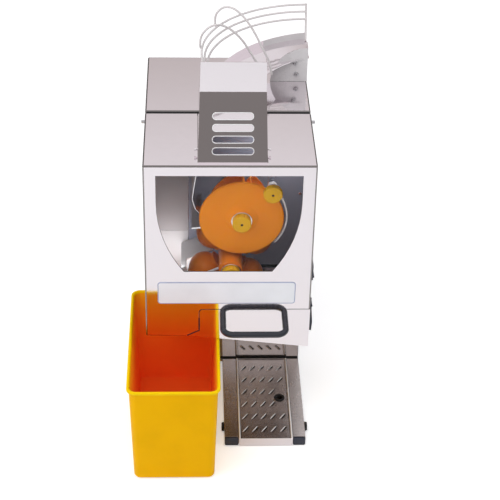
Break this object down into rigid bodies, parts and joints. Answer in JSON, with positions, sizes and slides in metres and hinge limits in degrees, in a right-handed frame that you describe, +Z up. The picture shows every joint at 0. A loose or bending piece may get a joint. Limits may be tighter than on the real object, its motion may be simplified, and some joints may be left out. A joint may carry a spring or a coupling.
{
  "type": "automatic orange juicer",
  "caption": "Counter citrus juicer in stainless steel with a windowed pull-off front, geared squeezing drums, juice tank drawer, drip tray, feed ramp with wire guard and a peel bin.",
  "frame": {"origin": "centre of the whole footprint, on the table", "axes": "+Z up, -Y towards the front cover, +X to the side with the switch and latch"},
  "size_m": [0.3394, 0.568, 0.757],
  "materials": {
    "polished_steel": "mirror polished",
    "satin_steel": "satin",
    "bright_steel": "polished",
    "grey_plate": "satin",
    "orange_plastic": "semi-gloss",
    "brown_plastic": "semi-gloss",
    "gold_plastic": "semi-gloss",
    "bin_plastic": "gloss",
    "black_plastic": "gloss",
    "rubber": "matt",
    "clear_plastic": "clear",
    "pale_plastic": "satin",
    "gear_steel": "machined",
    "cast_metal": "cast",
    "motor_paint": "satin"
  },
  "bodies": {
    "housing": {"cabinet_shell": "polished_steel", "hopper": "polished_steel", "feed_ramp": "polished_steel", "back_panel": "satin_steel", "base_frame": "satin_steel", "feed_guide": "satin_steel", "peel_chute": "satin_steel", "chamber_wall_left": "satin_steel", "chamber_wall_right": "satin_steel", "chamber_roof": "satin_steel", "tank_rail_left": "satin_steel", "tank_rail_right": "satin_steel", "orange_guard": "bright_steel", "knife": "bright_steel", "wire_guard": "bright_steel", "press_backplate": "grey_plate", "cable_gland": "black_plastic", "front_foot_left": "black_plastic", "front_foot_right": "black_plastic", "switch_bezel": "black_plastic", "latch_base": "black_plastic", "rear_foot_left": "rubber", "rear_foot_right": "rubber", "middle_foot_left": "rubber", "bumper_left": "rubber", "bumper_right": "rubber", "peel_stripper": "pale_plastic", "cover_sensor": "pale_plastic", "guard_post": "gear_steel", "cover_pin_left": "gear_steel", "cover_pin_right": "gear_steel", "upper_bearing": "cast_metal", "lower_bearing": "cast_metal", "gear_plate": "cast_metal", "gearbox": "cast_metal", "drive_motor": "motor_paint"},
    "upper_rotor": {"upper_shaft": "gear_steel", "cup_drum": "brown_plastic", "drum_disc": "orange_plastic", "upper_washer": "bright_steel", "upper_gear": "gear_steel"},
    "lower_rotor": {"lower_shaft": "gear_steel", "ball_drum": "brown_plastic", "lower_washer": "bright_steel", "lower_gear": "gear_steel"},
    "pinion": {"drive_pinion": "gear_steel"},
    "upper_knob": {"upper_knob": "gold_plastic"},
    "lower_knob": {"lower_knob": "gold_plastic"},
    "guard_knob": {"guard_knob": "gold_plastic"},
    "cover": {"front_cover": "polished_steel", "window_pane": "clear_plastic"},
    "tank": {"tank_front": "polished_steel", "juice_tank": "satin_steel", "tank_handle": "black_plastic", "pulp_strainer": "satin_steel"},
    "drip_tray": {"drip_tray": "satin_steel"},
    "drip_grid": {"drip_grid": "satin_steel"},
    "peel_bin": {"peel_bin": "bin_plastic"},
    "power_rocker": {"power_rocker": "black_plastic"},
    "latch_lever": {"latch_lever": "black_plastic"}
  },
  "joints": [
    {"name": "upper_spin", "type": "hinge", "parent": "housing", "child": "upper_rotor", "pos_m": [0.0357, -0.04, 0.453], "axis": [0, 1, 0], "continuous": true},
    {"name": "lower_spin", "type": "hinge", "parent": "housing", "child": "lower_rotor", "pos_m": [0.01772, -0.04, 0.34701], "axis": [0, 1, 0], "continuous": true},
    {"name": "pinion_spin", "type": "hinge", "parent": "housing", "child": "pinion", "pos_m": [0.08584, 0.081, 0.32222], "axis": [0, 1, 0], "continuous": true},
    {"name": "upper_knob_turn", "type": "hinge", "parent": "upper_rotor", "child": "upper_knob", "pos_m": [0.0357, -0.101, 0.453], "axis": [0, 1, 0], "continuous": true},
    {"name": "lower_knob_turn", "type": "hinge", "parent": "lower_rotor", "child": "lower_knob", "pos_m": [0.01772, -0.11, 0.34701], "axis": [0, 1, 0], "continuous": true},
    {"name": "guard_knob_turn", "type": "hinge", "parent": "housing", "child": "guard_knob", "pos_m": [0.08922, -0.101, 0.515], "axis": [0, 1, 0], "continuous": true},
    {"name": "cover_pull", "type": "slide", "parent": "housing", "child": "cover", "axis": [0, -1, 0], "range_m": [0, 0.2]},
    {"name": "tank_pull", "type": "slide", "parent": "housing", "child": "tank", "axis": [0, -1, 0], "range_m": [0, 0.19]},
    {"name": "tray_pull", "type": "slide", "parent": "housing", "child": "drip_tray", "axis": [0, -1, 0], "range_m": [0, 0.23]},
    {"name": "grid_lift", "type": "slide", "parent": "drip_tray", "child": "drip_grid", "axis": [0, 0, 1], "range_m": [0, 0.06]},
    {"name": "bin_pull", "type": "slide", "parent": "housing", "child": "peel_bin", "axis": [0, -1, 0], "range_m": [0, 0.32]},
    {"name": "rocker_tilt", "type": "hinge", "parent": "housing", "child": "power_rocker", "pos_m": [0.1644, -0.106, 0.355], "axis": [0, 1, 0], "range_deg": [0, 14]},
    {"name": "latch_swing", "type": "hinge", "parent": "housing", "child": "latch_lever", "pos_m": [0.1656, -0.102, 0.279], "axis": [0, 1, 0], "range_deg": [-60, 0]}
  ],
  "couplings": [
    {"joint": "lower_spin", "follows": "upper_spin", "ratio": -1},
    {"joint": "pinion_spin", "follows": "upper_spin", "ratio": 2.8667}
  ]
}
